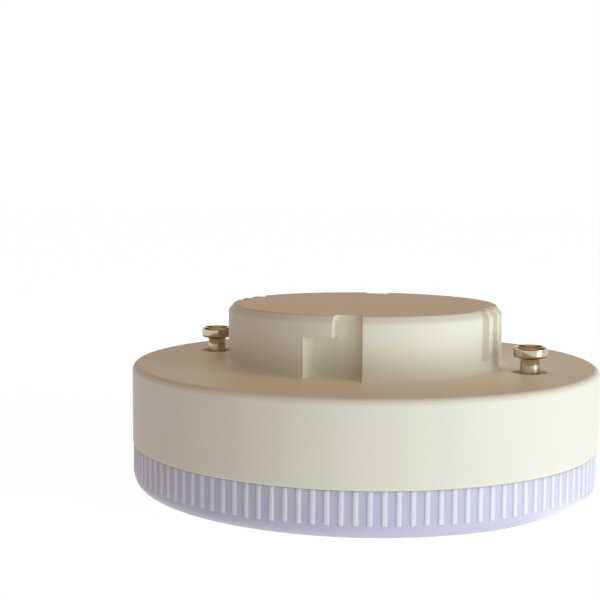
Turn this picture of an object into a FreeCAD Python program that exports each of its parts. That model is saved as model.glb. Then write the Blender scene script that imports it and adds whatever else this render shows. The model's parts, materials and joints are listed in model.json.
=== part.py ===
import FreeCAD, Part
import math
import os
import re

import Sketcher

# Disc lamp with a two-pin bayonet base, lying on its opal face with the base up.
# The origin is the centre of the face it rests on, +Z runs up towards the base,
# and the two contact pins stand on the X axis.

# Driving sizes: millimetres, with angles in degrees
SIZES = {
    # The standard pitch of the contact pins places the boss, the housing and the diffuser
    "pin_pitch": 53.0,
    # Housing: one moulding with a rim, a back plate and a central base boss
    "rim_overhang": 9.5,
    "housing_wall": 1.6,
    "seam_level": 7.5,
    "side_height": 12.0,
    "back_thickness": 1.8,
    "back_edge_fillet": 1.0,
    "seam_edge_fillet": 0.25,
    "boss_gap": 5.3,
    "boss_height": 9.0,
    "boss_wall": 1.8,
    "boss_top_thickness": 1.6,
    "boss_edge_fillet": 1.2,
    "boss_foot_fillet": 0.4,
    # Bayonet slots, angles counted clockwise from the contact pin, seen from the base
    "slot_depth": 2.6,
    "slot_back_wall": 1.6,
    "slot_cheek_angle": 6.0,
    "slot_far_angle": 91.0,
    "slot_near_angle": 68.0,
    "slot_entry_angle": 79.2,
    "slot_run_height": 5.9,
    # Flutes on the boss wall, in line with each contact pin
    "flute_depth": 0.7,
    "flute_middle_angle": 4.6,
    "flute_rib_angle": 4.4,
    "flute_side_angle": 9.5,
    # Contact pins, riveted through the back plate
    "pin_recess_radius": 2.85,
    "pin_recess_depth": 0.7,
    "pin_head_radius": 2.5,
    "pin_head_height": 1.65,
    "pin_top_chamfer": 0.35,
    "pin_under_chamfer": 0.2,
    "pin_dish_radius": 1.2,
    "pin_dish_depth": 0.35,
    "pin_neck_radius": 1.45,
    "pin_neck_height": 2.2,
    "pin_collar_radius": 1.75,
    "pin_collar_height": 0.5,
    "pin_shank_radius": 1.25,
    "pin_fit": 0.05,
    "crimp_radius": 1.9,
    "crimp_height": 0.6,
    # Terminal tags under the rivets
    "tag_radius": 2.3,
    "tag_thickness": 0.5,
    "tag_ear_width": 2.0,
    "tag_ear_length": 5.2,
    # Opal diffuser: a shallow cup with a ribbed side, a smooth ring and a snap-in skirt
    "diffuser_step": 0.1,
    "diffuser_wall": 1.4,
    "ring_radius": 1.6,
    "ring_level": 2.62,
    "ring_slope": 16.0,
    "crease_inset": 2.2,
    "dome_width": 11.7,
    "skirt_gap": 0.1,
    "skirt_wall": 1.2,
    "skirt_height": 2.3,
    "shoulder_height": 1.2,
    "rib_count": 120,
    "valley_width": 1.24,
    "valley_depth": 0.3,
    "valley_foot_level": 2.7,
    "valley_corner": 0.35,
    "first_valley_angle": 2.06,
    "snap_height": 1.5,
    "snap_depth": 0.3,
    "snap_half_width": 0.5,
    "snap_angle": 14.0,
    "snap_count": 4,
    # Pressed aluminium heat-sink cup
    "cup_setback": 2.7,
    "cup_gap": 0.1,
    "cup_wall": 1.0,
    "cup_corner_fillet": 1.2,
    "wire_hole_radius": 4.0,
    # Light-emitting board with two rings of chips
    "led_board_gap": 1.6,
    "led_board_thickness": 1.0,
    "led_board_hole_radius": 3.0,
    "led_length": 3.5,
    "led_width": 2.8,
    "led_height": 0.7,
    "outer_ring_inset": 7.5,
    "outer_ring_count": 12,
    "inner_ring_radius": 10.5,
    "inner_ring_count": 6,
    # Screws that clamp the board to the cup
    "board_screw_circle": 17.0,
    "board_screw_count": 3,
    "board_screw_radius": 1.2,
    "board_screw_grip": 3.2,
    "board_screw_head_radius": 2.2,
    "board_screw_head_height": 1.5,
    "screw_fit": 0.05,
    "screw_clearance": 0.2,
    "socket_radius": 0.8,
    "socket_depth": 0.8,
    # Insulating sheet on the cup's inner side
    "sheet_inset": 9.3,
    "sheet_thickness": 0.4,
    "sheet_hole_clearance": 0.6,
    # Driver board under the back plate, on three moulded posts
    "driver_gap": 0.6,
    "driver_thickness": 1.2,
    "post_gap": 0.2,
    "post_radius": 2.0,
    "post_height": 1.0,
    "post_count": 3,
    "driver_screw_radius": 0.8,
    "driver_screw_bite": 2.0,
    "driver_screw_head_radius": 1.6,
    "driver_screw_head_height": 1.0,
    # Component leads
    "lead_radius": 0.3,
    "lead_hole_radius": 0.4,
    "lead_tail": 0.7,
    # Input capacitor, lying on the board along Y
    "input_capacitor_radius": 4.0,
    "input_capacitor_length": 12.0,
    "input_capacitor_across": -12.0,
    "input_capacitor_lift": 0.2,
    "input_lead_pitch": 3.5,
    "input_lead_reach": 2.0,
    # Output capacitor, standing
    "output_capacitor_radius": 3.15,
    "output_capacitor_length": 9.0,
    "output_capacitor_across": 6.5,
    "output_capacitor_along": -8.0,
    "output_lead_pitch": 2.5,
    # Film capacitor, a moulded box
    "film_length": 9.0,
    "film_width": 3.5,
    "film_height": 7.5,
    "film_across": -3.2,
    "film_along": -10.5,
    "film_lead_pitch": 7.5,
    # Transformer: ferrite frame with a round middle leg, a bobbin and a winding
    "core_gap": 0.3,
    "core_depth": 6.0,
    "core_headroom": 0.6,
    "core_leg": 1.5,
    "core_post_radius": 1.6,
    "core_lift": 0.6,
    "core_across": 5.5,
    "core_along": 4.5,
    "bobbin_wall": 0.5,
    "bobbin_fit": 0.05,
    "bobbin_flange_radius": 4.7,
    "winding_step": 0.4,
    "winding_fit": 0.05,
    "bobbin_pin_across": 3.2,
    "bobbin_pin_along": 3.6,
    "bobbin_foot": 1.2,
    # Filter choke: a drum core with a winding
    "choke_radius": 3.0,
    "choke_height": 7.0,
    "choke_flange": 0.8,
    "choke_waist_radius": 1.4,
    "choke_winding_radius": 2.7,
    "choke_across": -5.2,
    "choke_along": 9.6,
    "choke_lead_pitch": 3.0,
    # Varistor disc, standing on its edge
    "varistor_radius": 3.5,
    "varistor_thickness": 2.6,
    "varistor_lift": 1.0,
    "varistor_across": -3.6,
    "varistor_along": -1.8,
    "varistor_lead_pitch": 5.0,
    # Fusible resistor, lying along X
    "resistor_radius": 1.6,
    "resistor_waist_radius": 1.35,
    "resistor_length": 8.0,
    "resistor_across": -3.0,
    "resistor_along": -5.8,
    "resistor_lift": 0.2,
    # Output diode, lying along Y
    "diode_radius": 1.35,
    "diode_length": 5.2,
    "diode_across": 13.2,
    "diode_along": -3.5,
    "diode_lift": 0.2,
    "bend_reach": 0.6,
    # Parts soldered to the underside of the driver board
    "bridge_length": 4.7,
    "bridge_width": 3.9,
    "bridge_height": 2.2,
    "bridge_across": -12.0,
    "bridge_along": 5.0,
    "chip_length": 4.9,
    "chip_width": 3.9,
    "chip_height": 1.5,
    "chip_across": 7.0,
    "chip_along": -3.4,
    "chip_leg_width": 0.45,
    "chip_leg_reach": 1.0,
    "chip_leg_height": 0.5,
    "chip_leg_pitch": 1.27,
    "small_resistor_length": 3.2,
    "small_resistor_width": 1.6,
    "small_resistor_height": 0.6,
    "small_resistor_across": -6.0,
    "small_resistor_along": -16.0,
    "small_resistor_pitch": 3.0,
    "small_capacitor_length": 2.0,
    "small_capacitor_width": 1.25,
    "small_capacitor_height": 1.2,
    "small_capacitor_across": 10.0,
    "small_capacitor_along": 3.0,
    "small_capacitor_pitch": 2.6,
    # Insulated leads
    "mains_wire_radius": 0.55,
    "mains_wire_run": 3.0,
    "mains_wire_turn": 7.5,
    "mains_wire_sway": 3.6,
    "mains_wire_reach": 9.0,
    "mains_wire_landing": 6.0,
    "mains_wire_dip": 1.65,
    "led_wire_radius": 0.5,
    "led_wire_spacing": 2.2,
    "led_wire_start": 12.5,
    "led_wire_end": -5.6,
    "led_wire_level": 13.2,
}

# Levels and radii that several pieces share, all worked out from the sizes above
BACK = "(seam_level + side_height)"
CEILING = f"({BACK} - back_thickness)"
TOP = f"({BACK} + boss_height)"
BOSS_CEILING = f"({TOP} - boss_top_thickness)"
PIN_CIRCLE = "(pin_pitch / 2)"
BOSS_RADIUS = f"({PIN_CIRCLE} - boss_gap)"
BOSS_BORE = f"({BOSS_RADIUS} - boss_wall)"
SLOT_FLOOR = f"({BOSS_RADIUS} - slot_depth)"
HOUSING_RADIUS = f"({PIN_CIRCLE} + rim_overhang)"
HOUSING_BORE = f"({HOUSING_RADIUS} - housing_wall)"
SKIRT_RADIUS = f"({HOUSING_BORE} - skirt_gap)"
SKIRT_BORE = f"({SKIRT_RADIUS} - skirt_wall)"
SNAP_LEVEL = "(seam_level + snap_height)"
DIFFUSER_RADIUS = f"({HOUSING_RADIUS} - diffuser_step)"
RING_FOOT_RADIUS = f"({DIFFUSER_RADIUS} - ring_radius + ring_radius * sin(ring_slope))"
RING_FOOT_LEVEL = "(ring_level - ring_radius * cos(ring_slope))"
CREASE_RADIUS = f"({DIFFUSER_RADIUS} - crease_inset)"
CREASE_LEVEL = f"({RING_FOOT_LEVEL} - ({RING_FOOT_RADIUS} - {CREASE_RADIUS}) * tan(ring_slope))"
FACE_FLAT_RADIUS = f"({CREASE_RADIUS} - dome_width)"
CUP_FLOOR = "(seam_level + cup_setback)"
CUP_TOP = f"({CUP_FLOOR} + cup_wall)"
CUP_RADIUS = f"({HOUSING_BORE} - cup_gap)"
LED_BOARD_FACE = f"({CUP_FLOOR} - led_board_thickness)"
LED_BOARD_RADIUS = f"({SKIRT_BORE} - led_board_gap)"
OUTER_RING = f"({LED_BOARD_RADIUS} - outer_ring_inset)"
SHEET_RADIUS = f"({CUP_RADIUS} - cup_wall - sheet_inset)"
POST_CIRCLE = f"({BOSS_BORE} + post_radius + post_gap)"
DRIVER_RADIUS = f"({PIN_CIRCLE} - tag_radius - driver_gap)"
DRIVER_TOP = f"({CEILING} - post_height)"
DRIVER_UNDERSIDE = f"({DRIVER_TOP} - driver_thickness)"
TAG_UNDERSIDE = f"({CEILING} - tag_thickness)"
LEAD_END = f"({DRIVER_UNDERSIDE} - lead_tail)"
CORE_WIDTH = "(2 * (bobbin_flange_radius + core_gap + core_leg))"
CORE_HEIGHT = f"({BOSS_CEILING} - core_headroom - {DRIVER_TOP} - core_lift)"
WINDING_RADIUS = "(bobbin_flange_radius - winding_step)"
LEAD_BEND = "(bend_reach * 0.8)"

# How far a cutting shape runs past the face it opens, and how far a joined one sinks in
OVERRUN = "1"
SINK = "0.2"
# Share of the shorter run that each bend of a wire takes up
BEND_SHARE = 0.45

doc = FreeCAD.newDocument("led_disc_lamp")
sheet = doc.addObject("Spreadsheet::Sheet", "Sizes")
for row, (alias, size) in enumerate(SIZES.items(), start=1):
    sheet.set(f"A{row}", alias)
    sheet.set(f"B{row}", str(size))
    sheet.setAlias(f"B{row}", alias)
doc.recompute()


# Expressions and checks

def tied(text):
    """The same expression with every size pointed at its cell in the sheet."""
    return re.sub(r"[a-z_]+", lambda word: f"Sizes.{word[0]}" if word[0] in SIZES else word[0], text)


def number(text):
    """The present value of an expression."""
    return float(sheet.evalExpression(tied(text)))


def bind(thing, path, text):
    thing.setExpression(path, tied(text))


def settle(thing):
    """Recompute and stop at once if the new object failed."""
    doc.recompute()
    if "Invalid" in thing.State or "Error" in thing.State:
        raise RuntimeError(f"{thing.Name} failed to build")
    return thing


# Sketches

def new_body(label):
    body = doc.addObject("PartDesign::Body", label)
    body.Label = label
    body.AllowCompound = True
    return body


def origin_part(body, role):
    return next(feature for feature in body.Origin.OriginFeatures if feature.Role == role)


def new_sketch(body, name, role, offset=("0", "0", "0"), turn=None):
    """A sketch on an origin plane, moved along its own axes and turned about its upright axis."""
    sketch = body.newObject("Sketcher::SketchObject", name)
    sketch.AttachmentSupport = [(origin_part(body, role), "")]
    sketch.MapMode = "FlatFace"
    upright = FreeCAD.Vector(0, 1, 0)
    if turn:
        turning = FreeCAD.Rotation(upright, number(turn))
        sketch.AttachmentOffset = FreeCAD.Placement(FreeCAD.Vector(), turning)
        bind(sketch, ".AttachmentOffset.Rotation.Angle", turn)
    for axis, text in zip("xyz", offset):
        if text != "0":
            bind(sketch, f".AttachmentOffset.Base.{axis}", text)
    return sketch


def arc_between(start, end, radius):
    """An arc from start to end that bulges to the right of the way there, or left if negative."""
    chord = end - start
    across = FreeCAD.Vector(-chord.y, chord.x, 0).normalize()
    side = 1 if radius > 0 else -1
    reach = math.sqrt(max(radius ** 2 - (chord.Length / 2) ** 2, 0))
    centre = (start + end) * 0.5 + across * side * reach
    circle = Part.Circle(centre, FreeCAD.Vector(0, 0, 1), abs(radius))
    first, last = (start, end) if side > 0 else (end, start)
    angles = [math.atan2(spot.y - centre.y, spot.x - centre.x) for spot in (first, last)]
    if angles[1] < angles[0]:
        angles[1] += 2 * math.pi
    return Part.ArcOfCircle(circle, angles[0], angles[1])


def outline(sketch, corners, arcs=None):
    """A closed outline whose corners, and the radii of its arcs, follow the sheet."""
    arcs = arcs or {}
    places = [FreeCAD.Vector(number(across), number(along), 0) for across, along in corners]
    count = len(places)
    ends = []
    for index, start in enumerate(places):
        end = places[(index + 1) % count]
        if index in arcs:
            radius = number(arcs[index])
            sketch.addGeometry(arc_between(start, end, radius), False)
            ends.append((1, 2) if radius > 0 else (2, 1))
        else:
            sketch.addGeometry(Part.LineSegment(start, end), False)
            ends.append((1, 2))
    for index in range(count):
        after = (index + 1) % count
        meeting = Sketcher.Constraint("Coincident", index, ends[index][1], after, ends[after][0])
        sketch.addConstraint(meeting)
    for index, corner in enumerate(corners):
        for kind, text in zip(("DistanceX", "DistanceY"), corner):
            rule = Sketcher.Constraint(kind, index, ends[index][0], number(text))
            bind(sketch, f"Constraints[{sketch.addConstraint(rule)}]", text)
    for index, text in arcs.items():
        size = f"abs({text})"
        rule = Sketcher.Constraint("Radius", index, number(size))
        bind(sketch, f"Constraints[{sketch.addConstraint(rule)}]", size)
    return sketch


def circles(sketch, spots, radius):
    """Round outlines of one radius at the given spots."""
    for index, spot in enumerate(spots):
        centre = FreeCAD.Vector(number(spot[0]), number(spot[1]), 0)
        sketch.addGeometry(Part.Circle(centre, FreeCAD.Vector(0, 0, 1), number(radius)), False)
        for kind, text in zip(("DistanceX", "DistanceY"), spot):
            rule = Sketcher.Constraint(kind, index, 3, number(text))
            bind(sketch, f"Constraints[{sketch.addConstraint(rule)}]", text)
        rule = Sketcher.Constraint("Radius", index, number(radius))
        bind(sketch, f"Constraints[{sketch.addConstraint(rule)}]", radius)
    return sketch


def rectangle(left, right, low, high):
    return [(left, low), (right, low), (right, high), (left, high)]


# Features of a body

def turned(body, name, sketch, kind="Revolution", sweep=None):
    """A profile turned about its sketch's upright axis, all round or over a sweep on both sides."""
    feature = body.newObject(f"PartDesign::{kind}", name)
    feature.Profile = sketch
    feature.ReferenceAxis = (sketch, ["V_Axis"])
    if sweep:
        feature.Midplane = True
        bind(feature, "Angle", sweep)
    else:
        feature.Angle = 360
    return settle(feature)


def raised(body, name, sketch, length, kind="Pad", flip=False):
    feature = body.newObject(f"PartDesign::{kind}", name)
    feature.Profile = sketch
    feature.Type = "Length"
    feature.Reversed = flip
    bind(feature, "Length", length)
    return settle(feature)


def repeated(body, name, features, count):
    """The same features again round the body's Z axis."""
    feature = body.newObject("PartDesign::PolarPattern", name)
    feature.Originals = features
    feature.Axis = (origin_part(body, "Z_Axis"), [""])
    feature.Angle = 360
    bind(feature, "Occurrences", count)
    body.Tip = feature
    return settle(feature)


def rounded(body, name, rims, radius):
    """A fillet on the circular edges of the present solid that have the given radius and level."""
    base = body.Tip
    names = []
    for index, edge in enumerate(base.Shape.Edges, start=1):
        if not isinstance(edge.Curve, Part.Circle):
            continue
        for rim_radius, level in rims:
            off_radius = abs(edge.Curve.Radius - number(rim_radius))
            off_level = abs(edge.Curve.Center.z - number(level))
            if max(off_radius, off_level) < 1e-4:
                names.append(f"Edge{index}")
    feature = body.newObject("PartDesign::Fillet", name)
    feature.Base = (base, names)
    bind(feature, "Radius", radius)
    return settle(feature)


# Simple solids and their joins

def place(solid, spot):
    for axis, text in zip("xyz", spot):
        bind(solid, f".Placement.Base.{axis}", text)
    return solid


def block(name, sides, spot):
    """A box with its lowest corner at the spot."""
    solid = doc.addObject("Part::Box", name)
    for side, text in zip(("Length", "Width", "Height"), sides):
        bind(solid, side, text)
    return place(solid, spot)


def rod(name, radius, length, spot, along="Z"):
    """A cylinder that starts at the spot and runs along one axis."""
    solid = doc.addObject("Part::Cylinder", name)
    bind(solid, "Radius", radius)
    bind(solid, "Height", length)
    directions = {"X": (1, 0, 0), "Y": (0, 1, 0), "Z": (0, 0, 1)}
    heading = FreeCAD.Vector(*directions[along])
    solid.Placement = FreeCAD.Placement(
        FreeCAD.Vector(), FreeCAD.Rotation(FreeCAD.Vector(0, 0, 1), heading))
    return place(solid, spot)


def joined(name, solids):
    fused = doc.addObject("Part::MultiFuse", name)
    fused.Shapes = solids
    fused.Label = name
    return settle(fused)


def cut(name, base, tool):
    result = doc.addObject("Part::Cut", name)
    result.Base = base
    result.Tool = tool
    result.Label = name
    return settle(result)


def grouped(name, solids):
    """Identical loose solids that share one node."""
    group = doc.addObject("Part::Compound", name)
    group.Links = solids
    group.Label = name
    return settle(group)


def swept(name, radius, route, bend=None):
    """A round wire swept along straight runs joined by tangent arcs."""
    spots = [FreeCAD.Vector(*[number(text) for text in spot]) for spot in route]
    edges = []
    start = spots[0]
    for before, corner, after in zip(spots, spots[1:], spots[2:]):
        arriving = corner - before
        leaving = after - corner
        half_turn = arriving.getAngle(leaving) / 2
        trim = number(bend) if bend else BEND_SHARE * min(arriving.Length, leaving.Length)
        bend_radius = trim / math.tan(half_turn)
        arc_start = corner - arriving.normalize() * trim
        arc_end = corner + leaving.normalize() * trim
        inward = ((arc_start + arc_end) * 0.5 - corner).normalize()
        arc_middle = corner + inward * (bend_radius / math.cos(half_turn) - bend_radius)
        edges.append(Part.LineSegment(start, arc_start).toShape())
        edges.append(Part.Arc(arc_start, arc_middle, arc_end).toShape())
        start = arc_end
    edges.append(Part.LineSegment(start, spots[-1]).toShape())
    ring = Part.Circle(spots[0], spots[1] - spots[0], number(radius)).toShape()
    path = Part.Wire(edges)
    wire = doc.addObject("Part::Feature", name)
    wire.Shape = path.makePipeShell([Part.Wire([ring])], True, False)
    wire.Label = name
    straight_volume = math.pi * number(radius) ** 2 * path.Length
    if abs(wire.Shape.Volume / straight_volume - 1) > 0.02:
        raise RuntimeError(f"{name} was not swept along its whole route")
    return wire


def through_lead(name, spot, top):
    """A lead that drops from the given level through the driver board."""
    return rod(name, "lead_radius", f"{top} - {LEAD_END}", (spot[0], spot[1], LEAD_END))


def bridging_lead(name, spots, level):
    """One wire up through the board, across inside a lying part and down again."""
    first, last = spots
    route = [(*first, LEAD_END), (*first, level), (*last, level), (*last, LEAD_END)]
    return swept(name, "lead_radius", route, bend=LEAD_BEND)


# Places where leads go through the driver board, two or four for each part

def pair(across, along, pitch, run="X"):
    """Two spots, one pitch apart, either side of a centre."""
    if run == "X":
        return [(f"{across} - {pitch} / 2", along), (f"{across} + {pitch} / 2", along)]
    return [(across, f"{along} - {pitch} / 2"), (across, f"{along} + {pitch} / 2")]


INPUT_END = "(-input_capacitor_length / 2)"
RESISTOR_SPAN = "(resistor_length + 2 * bend_reach)"
DIODE_SPAN = "(diode_length + 2 * bend_reach)"
INPUT_LEADS = pair("input_capacitor_across", f"{INPUT_END} - input_lead_reach", "input_lead_pitch")
OUTPUT_LEADS = pair("output_capacitor_across", "output_capacitor_along", "output_lead_pitch")
FILM_LEADS = pair("film_across", "film_along", "film_lead_pitch")
CHOKE_LEADS = pair("choke_across", "choke_along", "choke_lead_pitch", run="Y")
VARISTOR_LEADS = pair("varistor_across", "varistor_along", "varistor_lead_pitch")
RESISTOR_LEADS = pair("resistor_across", "resistor_along", RESISTOR_SPAN)
DIODE_LEADS = pair("diode_across", "diode_along", DIODE_SPAN, run="Y")
BOBBIN_LEADS = [
    (f"core_across {side} bobbin_pin_across", f"core_along {end} bobbin_pin_along")
    for side in "-+" for end in "-+"
]


# Housing

def base_housing():
    body = new_body("base_housing")
    groove_floor = f"{HOUSING_BORE} + snap_depth"
    section = outline(new_sketch(body, "housing_section", "XZ_Plane"), [
        (HOUSING_BORE, "seam_level"),
        (HOUSING_RADIUS, "seam_level"),
        (HOUSING_RADIUS, BACK),
        (BOSS_RADIUS, BACK),
        (BOSS_RADIUS, TOP),
        ("0", TOP),
        ("0", BOSS_CEILING),
        (BOSS_BORE, BOSS_CEILING),
        (BOSS_BORE, CEILING),
        (HOUSING_BORE, CEILING),
        (HOUSING_BORE, f"{SNAP_LEVEL} + snap_half_width"),
        (groove_floor, SNAP_LEVEL),
        (HOUSING_BORE, f"{SNAP_LEVEL} - snap_half_width"),
    ])
    turned(body, "housing_shell", section)
    rounded(body, "boss_top_round", [(BOSS_RADIUS, TOP)], "boss_edge_fillet")
    rounded(body, "back_edge_round", [(HOUSING_RADIUS, BACK)], "back_edge_fillet")
    rounded(body, "boss_foot_round", [(BOSS_RADIUS, BACK)], "boss_foot_fillet")
    rounded(body, "seam_edge_round", [(HOUSING_RADIUS, "seam_level")], "seam_edge_fillet")
    bayonet_slots(body)
    pin_flutes(body)
    pin_seats(body)
    driver_posts(body)
    return body


def bayonet_slots(body):
    """Two L-shaped slots: an entry from the top and a run at the foot, with a wall moulded behind."""
    middle = "(-(slot_far_angle + slot_near_angle) / 2)"
    sweep = "(slot_far_angle - slot_near_angle)"
    backing = outline(
        new_sketch(body, "slot_backing_section", "XZ_Plane", turn=middle),
        rectangle(f"{SLOT_FLOOR} - slot_back_wall", f"{BOSS_BORE} + {SINK}",
                  CEILING, f"{BOSS_CEILING} + {SINK}"))
    pads = turned(body, "slot_backing", backing, sweep=f"{sweep} + 2 * slot_cheek_angle")
    repeated(body, "slot_backings", [pads], "2")

    outside = f"{BOSS_RADIUS} + {OVERRUN}"
    run_top = f"{BACK} + slot_run_height"
    run = outline(
        new_sketch(body, "slot_run_section", "XZ_Plane", turn=middle),
        rectangle(SLOT_FLOOR, outside, BACK, run_top))
    slot_run = turned(body, "slot_run", run, "Groove", sweep=sweep)
    entry = outline(
        new_sketch(body, "slot_entry_section", "XZ_Plane",
                   turn="(-(slot_entry_angle + slot_near_angle) / 2)"),
        rectangle(SLOT_FLOOR, outside, run_top, f"{TOP} + {OVERRUN}"))
    slot_entry = turned(body, "slot_entry", entry, "Groove",
                        sweep="(slot_entry_angle - slot_near_angle)")
    repeated(body, "bayonet_slots", [slot_run, slot_entry], "2")


def pin_flutes(body):
    """Three flutes side by side on the boss wall facing each contact pin, with two ribs between."""
    side = "(flute_middle_angle / 2 + flute_rib_angle + flute_side_angle / 2)"
    flutes = [
        ("middle_flute", None, "flute_middle_angle"),
        ("left_flute", f"{side}", "flute_side_angle"),
        ("right_flute", f"(-{side})", "flute_side_angle"),
    ]
    cuts = []
    for name, turn, sweep in flutes:
        section = outline(
            new_sketch(body, f"{name}_section", "XZ_Plane", turn=turn),
            rectangle(f"{BOSS_RADIUS} - flute_depth", f"{BOSS_RADIUS} + {OVERRUN}",
                      BACK, f"{TOP} + {OVERRUN}"))
        cuts.append(turned(body, name, section, "Groove", sweep=sweep))
    repeated(body, "pin_flutes", cuts, "2")


def pin_seats(body):
    """A shallow recess round each contact pin, and the hole its shank goes through."""
    seat = circles(new_sketch(body, "pin_recess_outline", "XY_Plane", ("0", "0", BACK)),
                   [(PIN_CIRCLE, "0")], "pin_recess_radius")
    recess = raised(body, "pin_recess", seat, "pin_recess_depth", "Pocket")
    bore = circles(new_sketch(body, "pin_hole_outline", "XY_Plane", ("0", "0", BACK)),
                   [(PIN_CIRCLE, "0")], "pin_shank_radius + pin_fit")
    hole = raised(body, "pin_hole", bore, f"back_thickness + {OVERRUN}", "Pocket")
    repeated(body, "pin_seats", [recess, hole], "2")


def driver_posts(body):
    """Posts under the back plate that carry the driver board, each with a blind screw hole."""
    spot = [("0", POST_CIRCLE)]
    foot = circles(new_sketch(body, "post_outline", "XY_Plane", ("0", "0", f"{CEILING} + {SINK}")),
                   spot, "post_radius")
    post = raised(body, "driver_post", foot, f"post_height + {SINK}", flip=True)
    repeated(body, "driver_posts", [post], "post_count")
    bore = circles(new_sketch(body, "post_hole_outline", "XY_Plane", ("0", "0", DRIVER_TOP)),
                   spot, "driver_screw_radius + screw_fit")
    hole = raised(body, "post_hole", bore, "driver_screw_bite + screw_clearance", "Pocket", flip=True)
    repeated(body, "post_holes", [hole], "post_count")


# Contact pins and their tags

def contact_pins():
    """Two turned pins: a mushroom head on a neck, and a shank riveted over behind the tag."""
    body = new_body("contact_pins")
    head_top = f"{BACK} + pin_neck_height + pin_head_height"
    head_underside = f"{BACK} + pin_neck_height"
    seat = f"{BACK} - pin_recess_depth"
    collar_top = f"{seat} + pin_collar_height"
    cone = "pin_collar_radius - pin_neck_radius"
    tail = f"{TAG_UNDERSIDE} - crimp_height"
    section = outline(new_sketch(body, "pin_section", "XZ_Plane", (PIN_CIRCLE, "0", "0")), [
        ("0", tail),
        ("crimp_radius", tail),
        ("crimp_radius", TAG_UNDERSIDE),
        ("pin_shank_radius", TAG_UNDERSIDE),
        ("pin_shank_radius", seat),
        ("pin_collar_radius", seat),
        ("pin_collar_radius", collar_top),
        ("pin_neck_radius", f"{collar_top} + {cone}"),
        ("pin_neck_radius", head_underside),
        ("pin_head_radius - pin_under_chamfer", head_underside),
        ("pin_head_radius", f"{head_underside} + pin_under_chamfer"),
        ("pin_head_radius", f"{head_top} - pin_top_chamfer"),
        ("pin_head_radius - pin_top_chamfer", head_top),
        ("pin_dish_radius", head_top),
        ("pin_dish_radius - pin_dish_depth", f"{head_top} - pin_dish_depth"),
        ("0", f"{head_top} - pin_dish_depth"),
    ])
    pin = turned(body, "contact_pin", section)
    repeated(body, "both_pins", [pin], "2")
    return body


def terminal_tags():
    """A stamped ring with a solder ear under each rivet."""
    tags = []
    for side, name in (("", "live"), ("-", "neutral")):
        centre = f"{side}{PIN_CIRCLE}"
        ring = rod(f"{name}_tag_ring", "tag_radius", "tag_thickness", (centre, "0", TAG_UNDERSIDE))
        ear = block(f"{name}_tag_ear", ("tag_ear_width", "tag_ear_length", "tag_thickness"),
                    (f"{centre} - tag_ear_width / 2", "0", TAG_UNDERSIDE))
        plate = joined(f"{name}_tag_plate", [ring, ear])
        hole = rod(f"{name}_tag_hole", "pin_shank_radius + pin_fit", f"tag_thickness + 2 * {OVERRUN}",
                   (centre, "0", f"{TAG_UNDERSIDE} - {OVERRUN}"))
        tags.append(cut(f"{name}_tag", plate, hole))
    return grouped("terminal_tags", tags)


# Diffuser

def diffuser():
    """An opal cup: a face that is flat in the middle, a smooth ring, a ribbed side and a skirt."""
    body = new_body("diffuser")
    bore = f"({DIFFUSER_RADIUS} - diffuser_wall)"
    dome_run = f"({CREASE_RADIUS} - {FACE_FLAT_RADIUS})"
    dome = f"(({dome_run}^2 + {CREASE_LEVEL}^2) / (2 * {CREASE_LEVEL}))"
    inner_crease = f"({bore} - ring_radius / 2)"
    inner_run = f"({inner_crease} - {FACE_FLAT_RADIUS})"
    inner_dome = f"(({inner_run}^2 + {CREASE_LEVEL}^2) / (2 * {CREASE_LEVEL}))"
    shoulder = "(seam_level - shoulder_height)"
    section = outline(new_sketch(body, "diffuser_section", "XZ_Plane"), [
        ("0", "0"),
        (FACE_FLAT_RADIUS, "0"),
        (CREASE_RADIUS, CREASE_LEVEL),
        (RING_FOOT_RADIUS, RING_FOOT_LEVEL),
        (DIFFUSER_RADIUS, "ring_level"),
        (DIFFUSER_RADIUS, "seam_level"),
        (SKIRT_RADIUS, "seam_level"),
        (SKIRT_RADIUS, "seam_level + skirt_height"),
        (SKIRT_BORE, "seam_level + skirt_height"),
        (SKIRT_BORE, shoulder),
        (bore, f"{shoulder} - ({bore} - {SKIRT_BORE})"),
        (bore, "ring_level"),
        (inner_crease, f"{CREASE_LEVEL} + diffuser_wall"),
        (FACE_FLAT_RADIUS, "diffuser_wall"),
        ("0", "diffuser_wall"),
    ], arcs={1: dome, 3: "ring_radius", 12: f"-{inner_dome}"})
    turned(body, "diffuser_cup", section)

    hook = outline(new_sketch(body, "snap_section", "XZ_Plane", turn="45"), [
        (f"{SKIRT_RADIUS} - {SINK}", f"{SNAP_LEVEL} - snap_half_width"),
        (f"{SKIRT_RADIUS} + snap_depth", SNAP_LEVEL),
        (f"{SKIRT_RADIUS} - {SINK}", f"{SNAP_LEVEL} + snap_half_width"),
    ])
    snap = turned(body, "snap_hook", hook, sweep="snap_angle")
    repeated(body, "snap_hooks", [snap], "snap_count")

    floor = f"({DIFFUSER_RADIUS} - valley_depth)"
    half = "valley_width / 2"
    over = f"seam_level + {OVERRUN} / 20"
    spot = (f"{floor} * sin(first_valley_angle)", "0", f"{floor} * cos(first_valley_angle)")
    valley = outline(new_sketch(body, "valley_outline", "YZ_Plane", spot, turn="first_valley_angle"), [
        (f"-{half}", over),
        (f"-{half}", "valley_foot_level + valley_corner"),
        (f"-({half} - valley_corner)", "valley_foot_level"),
        (f"{half} - valley_corner", "valley_foot_level"),
        (half, "valley_foot_level + valley_corner"),
        (half, over),
    ])
    groove = raised(body, "valley", valley, f"valley_depth + {OVERRUN}", "Pocket", flip=True)
    repeated(body, "valleys", [groove], "rib_count")
    return body


# Heat sink and light source

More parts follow.
